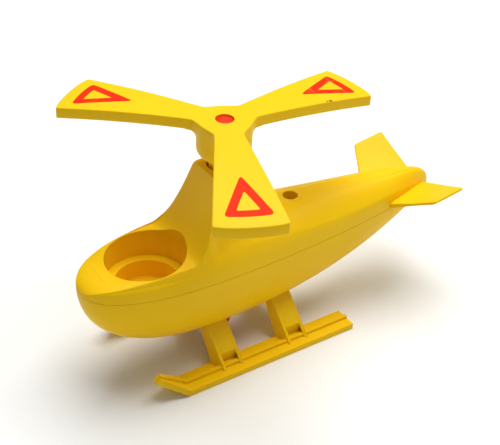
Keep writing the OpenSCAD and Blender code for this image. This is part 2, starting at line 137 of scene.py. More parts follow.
def leanObject(obj):
    count = len(obj.data.vertices)
    flat = np.empty(count * 3)
    obj.data.vertices.foreach_get("co", flat)
    p = flat.reshape(-1, 3) * 1000 - [axisX, axisY, 0]
    p = (leaned(p) + [axisX, axisY, 0]) * 0.001
    obj.data.vertices.foreach_set("co", p.reshape(-1))
    obj.data.update()


# camera

cameraView = {
    "place": (239.7, -147.9, 233.2),      # millimetres about the rotor axis
    "right": (0.5395, 0.8419, 0.0143),
    "up": (-0.4808, 0.2941, 0.8261),
    "lens": 82.63,
}


def addCamera():
    data = bpy.data.cameras.new("camera")
    data.sensor_width = 36
    data.lens = cameraView["lens"]
    data.clip_start = 0.01
    data.clip_end = 20
    camera = bpy.data.objects.new("camera", data)
    right = Vector(cameraView["right"]).normalized()
    up = Vector(cameraView["up"])
    up = (up - right * up.dot(right)).normalized()
    turn = Matrix((right, up, right.cross(up))).transposed().to_4x4()
    x, y, z = cameraView["place"]
    camera.matrix_world = Matrix.Translation(((x + axisX) / 1000, (y + axisY) / 1000, z / 1000)) @ turn
    bpy.context.scene.collection.objects.link(camera)
    bpy.context.scene.camera = camera


addCamera()
print("camera placed")


# node groups shared by the materials

def newGroup(name, inputs, outputs):
    group = bpy.data.node_groups.new(name, "ShaderNodeTree")
    for label, kind, value in inputs:
        socket = group.interface.new_socket(label, in_out="INPUT", socket_type=kind)
        socket.default_value = value
    for label, kind in outputs:
        group.interface.new_socket(label, in_out="OUTPUT", socket_type=kind)
    source = group.nodes.new("NodeGroupInput")
    target = group.nodes.new("NodeGroupOutput")
    return group, source, target


def mathNode(tree, kind, a, b=None, clamp=False):
    node = tree.nodes.new("ShaderNodeMath")
    node.operation = kind
    node.use_clamp = clamp
    for socket, value in zip(node.inputs, (a, b)):
        if value is None:
            continue
        if hasattr(value, "is_linked"):
            tree.links.new(value, socket)
        else:
            socket.default_value = value
    return node.outputs[0]


def rangeNode(tree, value, low, high, toLow=0.0, toHigh=1.0):
    node = tree.nodes.new("ShaderNodeMapRange")
    tree.links.new(value, node.inputs["Value"])
    node.inputs["From Min"].default_value = low
    node.inputs["From Max"].default_value = high
    node.inputs["To Min"].default_value = toLow
    node.inputs["To Max"].default_value = toHigh
    return node.outputs["Result"]


def noiseNode(tree, vector, scale, detail=3.0, roughness=0.5):
    node = tree.nodes.new("ShaderNodeTexNoise")
    tree.links.new(vector, node.inputs["Vector"])
    if hasattr(scale, "is_linked"):
        tree.links.new(scale, node.inputs["Scale"])
    else:
        node.inputs["Scale"].default_value = scale
    node.inputs["Detail"].default_value = detail
    node.inputs["Roughness"].default_value = roughness
    return node.outputs["Fac"]


# slow, cloudy change of tone, as plastic shows where it cooled unevenly in the mould
def buildFlow():
    group, source, target = newGroup(
        "mouldFlow",
        [("Vector", "NodeSocketVector", (0, 0, 0)), ("Scale", "NodeSocketFloat", 40.0)],
        [("Cloud", "NodeSocketFloat"), ("Fine", "NodeSocketFloat")])
    cloud = noiseNode(group, source.outputs["Vector"], source.outputs["Scale"], 4.0, 0.55)
    finer = mathNode(group, "MULTIPLY", source.outputs["Scale"], 14.0)
    fine = noiseNode(group, source.outputs["Vector"], finer, 6.0, 0.62)
    group.links.new(rangeNode(group, cloud, 0.3, 0.7), target.inputs["Cloud"])
    group.links.new(fine, target.inputs["Fine"])
    return group


# hair-thin play scratches: noise stretched along two directions, kept where it peaks
def buildScuffs():
    group, source, target = newGroup(
        "playScuffs",
        [("Vector", "NodeSocketVector", (0, 0, 0)), ("Amount", "NodeSocketFloat", 0.5)],
        [("Scratch", "NodeSocketFloat"), ("Rub", "NodeSocketFloat")])
    lines = []
    for turn, stretch in (((0.2, 0.5, 0.4), (30, 900, 900)), ((0.7, -0.3, 1.7), (1000, 36, 1000))):
        mapping = group.nodes.new("ShaderNodeMapping")
        mapping.inputs["Rotation"].default_value = turn
        mapping.inputs["Scale"].default_value = stretch
        group.links.new(source.outputs["Vector"], mapping.inputs["Vector"])
        raw = noiseNode(group, mapping.outputs["Vector"], 1.0, 2.0, 0.4)
        lines.append(rangeNode(group, raw, 0.66, 0.74))
    scratch = mathNode(group, "MAXIMUM", lines[0], lines[1])
    patches = rangeNode(group, noiseNode(group, source.outputs["Vector"], 55.0, 3.0, 0.6), 0.45, 0.62)
    scratch = mathNode(group, "MULTIPLY", scratch, patches)
    group.links.new(mathNode(group, "MULTIPLY", scratch, source.outputs["Amount"], True),
                    target.inputs["Scratch"])
    rub = mathNode(group, "MULTIPLY", patches, source.outputs["Amount"], True)
    group.links.new(rub, target.inputs["Rub"])
    return group


# rub-worn edges and painted highlight: convex places from the mesh's pointiness, broken up by noise, made
# lighter both as rub wear and as a painted highlight along the edges
def buildEdgeRubAndHighlight():
    group, source, target = newGroup(
        "edgeRubAndHighlight",
        [("Vector", "NodeSocketVector", (0, 0, 0)), ("Amount", "NodeSocketFloat", 0.5)],
        [("Mask", "NodeSocketFloat")])
    geometry = group.nodes.new("ShaderNodeNewGeometry")
    edge = rangeNode(group, geometry.outputs["Pointiness"], 0.54, 0.62)
    breakUp = rangeNode(group, noiseNode(group, source.outputs["Vector"], 420.0, 4.0, 0.6), 0.42, 0.62)
    mask = mathNode(group, "MULTIPLY", edge, breakUp)
    group.links.new(mathNode(group, "MULTIPLY", mask, source.outputs["Amount"], True),
                    target.inputs["Mask"])
    return group


# dust that settles on faces looking up and stays in the noise's hollows
def buildDust():
    group, source, target = newGroup(
        "settledDust",
        [("Vector", "NodeSocketVector", (0, 0, 0)), ("Amount", "NodeSocketFloat", 0.3)],
        [("Mask", "NodeSocketFloat")])
    geometry = group.nodes.new("ShaderNodeNewGeometry")
    split = group.nodes.new("ShaderNodeSeparateXYZ")
    group.links.new(geometry.outputs["Normal"], split.inputs["Vector"])
    upward = rangeNode(group, split.outputs["Z"], 0.2, 0.95)
    specks = rangeNode(group, noiseNode(group, source.outputs["Vector"], 1500.0, 2.0, 0.7), 0.64, 0.72)
    mask = mathNode(group, "MULTIPLY", upward, specks)
    group.links.new(mathNode(group, "MULTIPLY", mask, source.outputs["Amount"], True),
                    target.inputs["Mask"])
    return group


flowGroup = buildFlow()
scuffGroup = buildScuffs()
edgeRubHighlightGroup = buildEdgeRubAndHighlight()
dustGroup = buildDust()


def placeGroup(tree, group, **values):
    node = tree.nodes.new("ShaderNodeGroup")
    node.node_tree = group
    for label, value in values.items():
        if hasattr(value, "is_linked"):
            tree.links.new(value, node.inputs[label])
        else:
            node.inputs[label].default_value = value
    return node


def mixColor(tree, factor, a, b):
    node = tree.nodes.new("ShaderNodeMix")
    node.data_type = "RGBA"
    tree.links.new(factor, node.inputs["Factor"])
    for socket, value in ((node.inputs["A"], a), (node.inputs["B"], b)):
        if hasattr(value, "is_linked"):
            tree.links.new(value, socket)
        else:
            socket.default_value = (*value, 1)
    return node.outputs["Result"]


# a glossy moulded plastic. nicks are (place in metres, radius in metres, colour)
def mouldedPlastic(name, looks, nicks=()):
    material = bpy.data.materials.new(name)
    material.use_nodes = True
    tree = material.node_tree
    shader = tree.nodes["Principled BSDF"]
    where = tree.nodes.new("ShaderNodeTexCoord").outputs["Object"]
    flow = placeGroup(tree, flowGroup, Vector=where, Scale=looks["cloudScale"])
    scuff = placeGroup(tree, scuffGroup, Vector=where, Amount=looks["scuffs"])
    edge = placeGroup(tree, edgeRubHighlightGroup, Vector=where, Amount=looks["edgeRubAndHighlight"])
    dust = placeGroup(tree, dustGroup, Vector=where, Amount=looks["dust"])
    color = mixColor(tree, flow.outputs["Cloud"], looks["tone"], looks["toneWarm"])
    # lighter colour on convex edges: partly rub wear, partly a painted highlight
    color = mixColor(tree, edge.outputs["Mask"], color, looks["rubbedAndHighlit"])
    color = mixColor(tree, scuff.outputs["Scratch"], color, looks["scratched"])
    color = mixColor(tree, dust.outputs["Mask"], color, looks["dustTone"])
    for place, radius, tint in nicks:
        distance = tree.nodes.new("ShaderNodeVectorMath")
        distance.operation = "DISTANCE"
        tree.links.new(where, distance.inputs[0])
        distance.inputs[1].default_value = place
        wobble = mathNode(tree, "MULTIPLY", noiseNode(tree, where, 2600.0), radius * 1.1)
        reach = mathNode(tree, "ADD", distance.outputs["Value"], wobble)
        spot = rangeNode(tree, reach, radius * 1.25, radius * 0.75)
        color = mixColor(tree, spot, color, tint)
    tree.links.new(color, shader.inputs["Base Color"])
    rough = rangeNode(tree, flow.outputs["Fine"], 0.3, 0.7, looks["gloss"] - 0.03, looks["gloss"] + 0.05)
    worn = mathNode(tree, "MULTIPLY", scuff.outputs["Rub"], 0.1)
    rough = mathNode(tree, "ADD", rough, worn)
    tree.links.new(mathNode(tree, "ADD", rough, mathNode(tree, "MULTIPLY", dust.outputs["Mask"], 0.3)),
                   shader.inputs["Roughness"])
    height = mathNode(tree, "SUBTRACT", mathNode(tree, "MULTIPLY", flow.outputs["Fine"], 0.25),
                      scuff.outputs["Scratch"])
    bump = tree.nodes.new("ShaderNodeBump")
    bump.inputs["Strength"].default_value = looks["bump"]
    bump.inputs["Distance"].default_value = looks["bumpDepth"]
    tree.links.new(height, bump.inputs["Height"])
    tree.links.new(bump.outputs["Normal"], shader.inputs["Normal"])
    shader.inputs["IOR"].default_value = 1.5
    shader.inputs["Specular IOR Level"].default_value = looks["specular"]
    shader.inputs["Subsurface Weight"].default_value = looks["glow"]
    shader.inputs["Subsurface Radius"].default_value = (0.004, 0.002, 0.0004)
    shader.inputs["Subsurface Scale"].default_value = 0.25
    return material


# the lighter edge colour in each look is partly rub wear, partly a painted highlight along convex edges
yellowLooks = {
    "tone": (0.935, 0.590, 0.005), "toneWarm": (0.915, 0.560, 0.004), "rubbedAndHighlit": (0.96, 0.70, 0.05),
    "scratched": (0.80, 0.45, 0.01), "cloudScale": 45.0, "scuffs": 0.5, "edgeRubAndHighlight": 0.2, "dust": 0.10,
    "dustTone": (0.42, 0.36, 0.26), "gloss": 0.36, "bump": 0.25, "bumpDepth": 0.00004,
    "specular": 0.10, "glow": 0.02,
}
redLooks = dict(yellowLooks, tone=(0.82, 0.034, 0.008), toneWarm=(0.78, 0.028, 0.006),
                rubbedAndHighlit=(0.95, 0.16, 0.08), scratched=(0.7, 0.05, 0.02), glow=0.03)
printLooks = dict(redLooks, tone=(0.84, 0.034, 0.005), toneWarm=(0.80, 0.028, 0.004),
                  scratched=(0.93, 0.30, 0.03), scuffs=0.6, gloss=0.45, glow=0.0, specular=0.05)


# fuselage: both shells come from the same functions of y

bodyShape = {
    "nose": 48.0, "tail": 79.0, "halfWidth": 15.0, "seamHeight": 33.0, "seamSlope": 0.03,
    "bellyDepth": 24.4, "wall": 1.8, "seamGap": 0.12, "mastHeight": 61.7, "mastHalf": 6.8,
    "mastStart": -18.0, "flatStart": -6.4, "flatEnd": 5.8, "boomStart": 20.0, "boomRise": 11.2,
    "boomHalf": 3.6,
    "stations": 190, "across": 120,
}


# height of the parting line: a straight line that drops towards the tail
def seamZ(y):
    return bodyShape["seamHeight"] - bodyShape["seamSlope"] * (y + 25)


# half width at the seam: a blunt superellipse ahead of y = -12, a long taper behind it
def halfAt(y):
    b = bodyShape
    front = unit((-12 - y) / (b["nose"] - 12))
    back = unit((y + 12) / (b["tail"] + 12))
    return b["halfWidth"] * np.where(
        y < -12, np.maximum(0, 1 - front ** 2.3) ** (1 / 2.3), np.maximum(0, 1 - back ** 1.7) ** 0.68)


# depth of the belly under the seam: a superellipse at the nose, a power curve to the tail
def keelAt(y):
    b = bodyShape
    front = unit((-8 - y) / (b["nose"] - 8))
    back = unit((y + 8) / (b["tail"] + 8))
    return b["bellyDepth"] * np.where(
        y < -8, np.maximum(0, 1 - front ** 2.25) ** (1 / 2.25), np.maximum(0, 1 - back ** 2.3))


# swelling of the shoulder beside the mast: a bell curve, steeper ahead than behind
def bulge(y):
    return np.exp(-((y - 3) / np.where(y < 3, 14, 24)) ** 2)


# how the top closes down to the seam at the nose and at the tail: rounded powers
def noseFade(y):
    return np.sqrt(np.maximum(0, 1 - unit((-31 - y) / (bodyShape["nose"] - 31)) ** 2.6))


def tailFade(y):
    return np.sqrt(np.maximum(0, 1 - unit((y - 40) / (bodyShape["tail"] - 40)) ** 3))


# height of the shoulder over the seam
def shoulderH(y):
    return (4.3 + 0.8 * unit((y + 34) / 30) + 2.8 * bulge(y)) * noseFade(y) * tailFade(y)


def shoulderX(y):
    return halfAt(y) * (0.945 - 0.05 * bulge(y))


# height of the deck over the seam: a straight rise towards the mast
def deckH(y):
    return (5.0 + 2.6 * unit((y + 40) / 22)) * noseFade(y)


# height of the boom over the seam: a gentle fall, times a high power that blunts the end
def boomH(y):
    b = bodyShape
    u = unit((y - b["boomStart"]) / (b["tail"] - b["boomStart"]))
    return (b["boomRise"] - 4 * u ** 1.3) * np.maximum(0, 1 - u ** 14) ** 0.45


# how far up the mast's front, and how far up its back, a place y is
def frontU(y):
    b = bodyShape
    return unit((y - b["mastStart"]) / (b["flatStart"] - b["mastStart"]))


def backU(y):
    b = bodyShape
    return unit((b["boomStart"] - y) / (b["boomStart"] - b["flatEnd"]))


# top line: deck, a power curve up the mast's front, flat, a power curve down its back, boom
def topZ(y):
    b = bodyShape
    mast = b["mastHeight"]
    deck = seamZ(y) + deckH(y)
    boom = seamZ(y) + boomH(y)
    return np.select(
        [y < b["mastStart"], y < b["flatStart"], y < b["flatEnd"], y < b["boomStart"]],
        [deck, mix(deck, mast, frontU(y) ** 1.8), mast, mix(boom, mast, backU(y) ** 2.2)], boom)


# half width of the top line: from the deck's to the mast's, then narrowing into the boom's
def topX(y):
    b = bodyShape
    half = b["mastHalf"]
    atDeck = shoulderX(y) * 0.9
    start = shoulderX(np.array(b["mastStart"])) * 0.9
    return np.select(
        [y < b["mastStart"], y < b["flatStart"], y < 0, y < 12],
        [atDeck, mix(start, half, frontU(y) ** 1.6), half, mix(half, b["boomHalf"], unit(y / 12))],
        b["boomHalf"] * halfAt(y) / halfAt(np.array(12.0)))


# how far the front of the mast and the deck bow across the middle
def crownAt(y):
    return np.exp(-((y + 17) / 7.5) ** 2) + 0.25 * unit((-20 - y) / 10) * noseFade(y)


# control points of the sections at y, set in by t, from one seam over the top to the other
def upperControls(y, t):
    w = np.maximum(0.02, halfAt(y) - t)
    zs = seamZ(y)
    zh = np.maximum(0.02, shoulderH(y) - t * 0.6)
    xs = np.minimum(w * 0.99, np.maximum(0.015, shoulderX(y) - t))
    xm = np.minimum(xs * 0.95, np.maximum(0.01, topX(y) - t))
    near = 1.5 if t > 0.5 else 0.0
    lowest = np.minimum(np.minimum(topZ(y - near), topZ(y)), topZ(y + near))
    zm = np.maximum(zs + zh * 1.04, lowest - t)
    rise = zm - zs - zh
    k = unit((rise - 4) / 10)
    dx = xs - xm
    zero = np.zeros_like(y)
    half = [(w, zs), (w - 0.15 * (w - xs), zs + 0.5 * zh), (mix(w, xs, 0.75), zs + 0.88 * zh),
            (xs - 0.03 * w, zs + zh + 0.03 * rise),
            (xs - mix(0.34, 0.46, k) * dx, zs + zh + mix(0.5, 0.12, k) * rise),
            (xs - mix(0.7, 0.86, k) * dx, zs + zh + mix(0.86, 0.48, k) * rise),
            (xm + 0.03 * w, zm - 0.045 * rise - 0.15 * np.minimum(1, zh) - 1.1 * crownAt(y)),
            (xm * 0.88, zm - 0.004 * rise - 0.8 * crownAt(y)), (xm * 0.4, zm), (zero, zm)]
    whole = half + [(-x, z) for x, z in half[-2::-1]]
    return np.stack([np.stack(p, axis=-1) for p in whole], axis=1)


# quadratic spline through the middles of the legs of each row of control points
def splineRows(controls, count):
    legs = controls.shape[1] - 2
    u = np.linspace(0, 1, count) * legs
    i = np.minimum(legs - 1, np.floor(u).astype(int))
    f = (u - i)[None, :, None]
    middle = (controls[:, 1:] + controls[:, :-1]) / 2
    a = np.where((i == 0)[None, :, None], controls[:, :1], middle[:, i])
    b = controls[:, i + 1]
    c = np.where((i == legs - 1)[None, :, None], controls[:, -1:], middle[:, np.minimum(i + 1, legs)])
    return a * (1 - f) ** 2 + b * 2 * f * (1 - f) + c * f ** 2


# half ellipses under the seam
def bellyRows(y, t, count):
    a = np.linspace(0, pi, count)
    w = np.maximum(0.02, halfAt(y) - t)[:, None]
    depth = np.maximum(0.02, keelAt(y) - t)[:, None]
    return np.stack([w * np.cos(a), seamZ(y)[:, None] - depth * np.sin(a)], axis=-1)


# a shell: outer skin, inner skin and the flat rim on the seam; or the solid under one skin
def shellSolid(name, upper, lift, inset=0.0, hollow=True, stations=None, across=None):
    b = bodyShape
    n = across or b["across"]
    m = stations or b["stations"]
    s = np.linspace(0, 1, m)
    spread = mix(s, (1 - np.cos(pi * s)) / 2, 0.75)
    skins = []
    for t, cutFront, cutBack in ((inset, 0.01 + inset, 0.01 + inset), (b["wall"], b["wall"], 2 * b["wall"])):
        y = mix(-b["nose"] + cutFront, b["tail"] - cutBack, spread)
        rows = splineRows(upperControls(y, t), n) if upper else bellyRows(y, t, n)
        skins.append(np.stack([rows[..., 0], np.repeat(y[:, None], n, axis=1), rows[..., 1] + lift], -1))
    skins = skins if hollow else skins[:1]
    points = np.concatenate([skin.reshape(-1, 3) for skin in skins])
    faces = gridFaces(m, n).tolist()
    far = (m - 1) * n
    faces += [list(range(n))[::-1], list(range(far, far + n))]
    left, right = np.arange(m) * n, np.arange(m) * n + n - 1
    if hollow:
        size = m * n
        faces += gridFaces(m, n, start=size, flip=True).tolist()
        faces += [list(range(size, size + n)), list(range(size + far, size + far + n))[::-1]]
        rim = np.concatenate([
            np.stack([left[:-1], left[1:], left[1:] + size, left[:-1] + size], -1),
            np.stack([right[1:], right[:-1], right[:-1] + size, right[1:] + size], -1)])
        faces += rim.tolist()
        faces += [[left[0], left[0] + size, right[0] + size, right[0]],
                  [left[-1], right[-1], right[-1] + size, left[-1] + size]]
    else:
        faces += np.stack([left[:-1], left[1:], right[1:], right[:-1]], -1).tolist()
    obj = makeMesh(name, points, faces)
    tidyMesh(obj, 0.0000002)
    return obj


def plug(name, r, z0, z1, y=0.0, steps=128):
    return lathe(name, [(0, z0), (r, z0), (r, z1), (0, z1)], steps, (0, y))


seatShape = {"reach": 26.74, "well": 12.0, "ledge": 30.8, "cup": 9.28, "cupFloor": 24.6, "skirt": 1.4,
             "skirtLow": 1.0}
mastHole = {"radius": 4.95, "floor": 48.0, "wall": 1.2, "low": 36.0}
shaftGuide = {"radius": 4.6, "low": 8.6, "high": 30.6, "bore": 2.08}
socketShape = {"reach": 23.5, "radius": 2.4, "depth": 7.0, "top": 42.8, "lip": 0.9}


def buildUpperShell():
    seat = seatShape
    shell = shellSolid("upperShell", True, bodyShape["seamGap"] / 2)
    skirt = plug("skirt", seat["well"] + seat["skirt"], 30, 50, -seat["reach"])
    combine(skirt, shellSolid("under", True, 0.3, 0.35, False, 120, 72), "INTERSECT")
    combine(shell, skirt, "UNION")
    foot = seat["ledge"] + 0.05
    skirtLow = plug("skirtLow", seat["well"] + seat["skirtLow"], foot, foot + 4.5, -seat["reach"])
    combine(shell, skirtLow, "UNION")
    guide = plug("guide", mastHole["radius"] + mastHole["wall"], mastHole["low"], bodyShape["mastHeight"] - 1)
    leanObject(guide)
    combine(shell, guide, "UNION")
    lip = socketShape["radius"] + socketShape["lip"]
    top = socketShape["top"]
    boss = lathe("boss", [(0, 33.4), (lip, 33.4), (lip, top - 0.4)] + arc(lip - 0.4, top - 0.4, 0.4, 0, 90)
                 + [(0, top)], 64, (0, socketShape["reach"]))
    combine(shell, boss, "UNION")
    combine(shell, plug("well", seat["well"], 20, 60, -seat["reach"], 160), "DIFFERENCE")
    hole = plug("hole", mastHole["radius"], mastHole["floor"], 80)
    leanObject(hole)
    combine(shell, hole, "DIFFERENCE")
    bottom = top - socketShape["depth"]
    combine(shell, plug("socket", socketShape["radius"], bottom, 60, socketShape["reach"]), "DIFFERENCE")
    return shell


def buildBellyShell():
    seat = seatShape
    shell = shellSolid("bellyShell", False, -bodyShape["seamGap"] / 2)
    ledge = seat["ledge"]
    rim = seat["well"] + seat["skirtLow"]
    cup = lathe("cup", [(0, seat["cupFloor"] - 1.6), (seat["cup"] + 1.4, seat["cupFloor"] - 1.6),
                        (seat["cup"] + 1.4, ledge - 1.4), (rim, ledge - 1.4), (rim, ledge),
                        (seat["cup"] + 0.35, ledge)]
                + arc(seat["cup"] + 0.35, ledge - 0.35, 0.35, 90, 180)
                + [(seat["cup"], seat["cupFloor"] + 0.5)]
                + arc(seat["cup"] - 0.5, seat["cupFloor"] + 0.5, 0.5, 0, -90)
                + [(0, seat["cupFloor"])], 160, (0, -seat["reach"]))
    combine(shell, plug("relief", rim + 0.1, ledge, ledge + 10, -seat["reach"], 160), "DIFFERENCE")
    combine(shell, cup, "UNION")
    tube = plug("tube", shaftGuide["radius"], shaftGuide["low"], shaftGuide["high"])
    leanObject(tube)
    combine(shell, tube, "UNION")
    bore = plug("bore", shaftGuide["bore"], 1, 41)
    leanObject(bore)
    combine(shell, bore, "DIFFERENCE")
    return shell


# tail fins

finShape = {"span": 21.0, "rootT": 3.2, "tipT": 1.3, "round": 0.7,
            "leadY": 57.0, "sweep": 0.507, "leadZ": 31.0, "leadRise": 0.471,
            "trailY": 75.4, "notchY": 73.0, "trailZ": 30.5, "trailRise": 0.524}


# a flat V: across the span x, the section is a rounded plate from the leading to the trailing edge
def buildFins():
    f = finShape
    half = np.concatenate([np.linspace(0, f["span"] - f["round"], 60),
                           f["span"] - f["round"] + f["round"] * np.sin(np.linspace(0.2, pi / 2, 6))])
    x = np.concatenate([-half[:0:-1], half])
    a = np.abs(x)
    ending = unit((a - (f["span"] - f["round"])) / f["round"])
    draw = f["round"] * (1 - np.sqrt(np.maximum(0, 1 - ending ** 2)))
    y0 = f["leadY"] + (a - 7) * f["sweep"] + draw
    y1 = np.where(a < 2.2, f["notchY"] + (a / 2.2) * 2.4, f["trailY"]) - draw
    z0 = f["leadZ"] + (a - 7) * f["leadRise"]
    z1 = mix(z0, f["trailZ"] + (a - 2) * f["trailRise"], np.minimum(1.0, (y1 - y0) / 19))
    thick = mix(f["rootT"], f["tipT"], unit((a - 4) / 10)) / 2
    thick = thick * np.sqrt(np.maximum(0.02, 1 - ending ** 2))
    turn = np.linspace(0, 2 * pi, 44, endpoint=False)
    c, s = np.cos(turn), np.sin(turn)
    along = 0.5 - 0.5 * np.sign(c) * np.abs(c) ** 0.22
    across = np.sign(s) * np.abs(s) ** 0.42
    y = mix(y0[:, None], y1[:, None], along)
    z = mix(z0[:, None], z1[:, None], along) + thick[:, None] * across
    points = np.stack([np.repeat(x[:, None], len(turn), axis=1), y, z], -1).reshape(-1, 3)
    last = (len(x) - 1) * len(turn)
    faces = gridFaces(len(x), len(turn), closed=True).tolist()
    faces += [list(range(len(turn))), list(range(last, last + len(turn)))[::-1]]
    obj = makeMesh("tailFins", points, faces)
    tidyMesh(obj)
    return obj


# rotor

rotorShape = {
    "hub": 8.0, "tip": 49.45, "phase": -23.5, "blades": 3, "rootHalf": 4.0, "tipHalf": 10.2,
    "thick": 3.4, "droop": 3.0, "edge": 0.35, "corner": 0.9, "cove": 3.0, "stem": 4.3,
    "rootFillet": 0.25, "side": 67.6, "under": 3.6, "stemLow": 50.0, "bore": 2.02,
    "recess": 2.78, "recessDeep": 2.0, "rim": 2.75,
}


# how far a blade hangs at distance r: a square law
def droopAt(r):
    return rotorShape["droop"] * unit(r / rotorShape["tip"]) ** 2


# half width of a blade: a straight flare
def bladeHalf(x):
    q = rotorShape
    return mix(q["rootHalf"], q["tipHalf"], (x - q["hub"]) / (q["tip"] - q["hub"]))


# plan outline of hub and blades: hub arc, fillet, straight flaring edge, round corner, tip arc
def starOutline():
    q = rotorShape
    tipAngle = asin(q["tipHalf"] / q["tip"])
    step = 2 * pi / q["blades"]
    # one half blade, from the hub to the middle of the tip, as distance x along and y across
    x = np.linspace(q["hub"] + 0.2, q["tip"] * cos(tipAngle) - q["corner"], 46)
    flare = q["rootFillet"] * np.exp(-(x - q["hub"]) / 1.6)
    sideX, sideY = x, bladeHalf(x) + flare
    turn = np.linspace(0, pi / 2, 8)[1:]
    cornerX = q["tip"] * cos(tipAngle) - q["corner"] + q["corner"] * np.sin(turn)
    cornerY = bladeHalf(x[-1]) - q["corner"] * (1 - np.cos(turn)) * 0.9
    start = cornerY[-1]
    tipY = np.linspace(start, 0, 10)[1:]
    pull = (tipY / start) ** 6 * (np.sqrt(q["tip"] ** 2 - start ** 2) - cornerX[-1])
    tipX = np.sqrt(q["tip"] ** 2 - tipY ** 2) - pull
    hx = np.concatenate([sideX, cornerX, tipX])
    hy = np.concatenate([sideY, cornerY, tipY])
    startAngle = np.arctan2(hy[0], hx[0])
    hubRadius = np.hypot(hx[0], hy[0])
    arcAngles = np.linspace(step / 2, startAngle, 10)[:-1]
    arcR = mix(q["hub"], hubRadius, unit((step / 2 - arcAngles) / (step / 2 - startAngle)) ** 3)
    px = np.concatenate([arcR * np.cos(arcAngles), hx])
    py = np.concatenate([arcR * np.sin(arcAngles), hy])
    bladeX = np.concatenate([px, px[-2:0:-1]])
    bladeY = np.concatenate([py, -py[-2:0:-1]])
    ring = []
    for i in range(q["blades"]):
        a = radians(q["phase"]) - i * step
        ring.append(np.stack([bladeX * cos(a) - bladeY * sin(a), bladeX * sin(a) + bladeY * cos(a)], -1))
    return np.concatenate(ring)


# rays from the centre to the star outline; each carries a profile over the top, round the edge,
# down to the stem
def buildRotor():
    q = rotorShape
    outline = starOutline()
    reach = np.linalg.norm(outline, axis=1)
    ray = outline / reach[:, None]
    forward = np.roll(outline, -1, axis=0) - np.roll(outline, 1, axis=0)
    normal = np.stack([forward[:, 1], -forward[:, 0]], -1)
    normal /= np.linalg.norm(normal, axis=1)[:, None]
    normal *= np.sign(np.sum(normal * ray, axis=1))[:, None]
    rings = []
    inner = outline - normal * q["edge"]

    def ringAt(plan, down):
        r = np.linalg.norm(plan, axis=1)
        z = hubTop - droopAt(r) - down
        rings.append(np.column_stack([plan, z]))

    for t in np.linspace(0, 1, 26):
        ringAt(mix(ray * q["rim"], inner, t), 0.0)
    for a in np.linspace(0, pi / 2, 5)[1:]:
        ringAt(inner + normal * q["edge"] * sin(a), q["edge"] * (1 - cos(a)))
    onHub = unit((reach - q["hub"] - 0.2) / 3.0)[:, None]
    low = q["thick"]
    ringAt(outline, low * 0.5)
    ringAt(outline, low - q["edge"])
    for a in np.linspace(0, pi / 2, 5)[1:]:
        ringAt(outline - normal * q["edge"] * (1 - cos(a)) * onHub, low - q["edge"] * (1 - sin(a)))
    under = outline - normal * q["edge"] * onHub
    hubPlan = ray * q["hub"]
    coveStart = ray * np.minimum(reach, q["hub"] + q["cove"])[:, None]
    for t in np.linspace(0, 1, 22)[1:]:
        ringAt(mix(under, coveStart, t), low)
    for a in np.linspace(0, pi / 2, 7)[1:]:
        ringAt(mix(coveStart, hubPlan, sin(a)), low + q["cove"] * (1 - cos(a)))
    turned = [(q["hub"], q["side"])]
    turned += [(q["stem"] + (q["hub"] - q["stem"]) * cos(a), q["side"] - q["under"] * sin(a))
               for a in np.linspace(0, pi / 2, 8)[1:]]
    turned += [(q["stem"], q["stemLow"] + 0.4), (q["stem"] - 0.3, q["stemLow"]), (q["bore"], q["stemLow"]),
               (q["bore"], hubTop - q["recessDeep"]), (q["recess"], hubTop - q["recessDeep"]),
               (q["recess"], hubTop - 0.1)]
    for r, z in turned:
        rings.append(np.column_stack([ray * r, np.full(len(ray), z)]))
    points = np.concatenate(rings)
    count = len(ray)
    faces = gridFaces(len(rings), count, closed=True).tolist()
    lastRing = (len(rings) - 1) * count
    j = np.arange(count)
    faces += np.stack([lastRing + j, lastRing + (j + 1) % count, (j + 1) % count, j], -1).tolist()
    obj = makeMesh("rotorBlades", leaned(points), faces)
    tidyMesh(obj)
    return obj


labelShape = {"point": 28.4, "far": 45.2, "half": 6.6, "border": 2.2, "rise": 0.07, "sink": 0.05}


# closed outline of a triangle whose corners are quadratic curves
def roundedTriangle(corners, radius, perSide=14, perCorner=8):
    corners = np.array(corners, dtype=float)
    out = []
    for i in range(3):
        q, before, after = corners[i], corners[i - 1], corners[(i + 1) % 3]
        d0 = (before - q) / np.linalg.norm(before - q)
        d1 = (after - q) / np.linalg.norm(after - q)
        f = np.linspace(0, 1, perCorner)[:, None]
        out.append((q + d0 * radius) * (1 - f) ** 2 + q * 2 * f * (1 - f) + (q + d1 * radius) * f ** 2)
        end = after + (q - after) / np.linalg.norm(q - after) * radius
        s = np.linspace(0, 1, perSide)[1:-1, None]
        out.append(mix(q + d1 * radius, end, s))
    return np.concatenate(out)


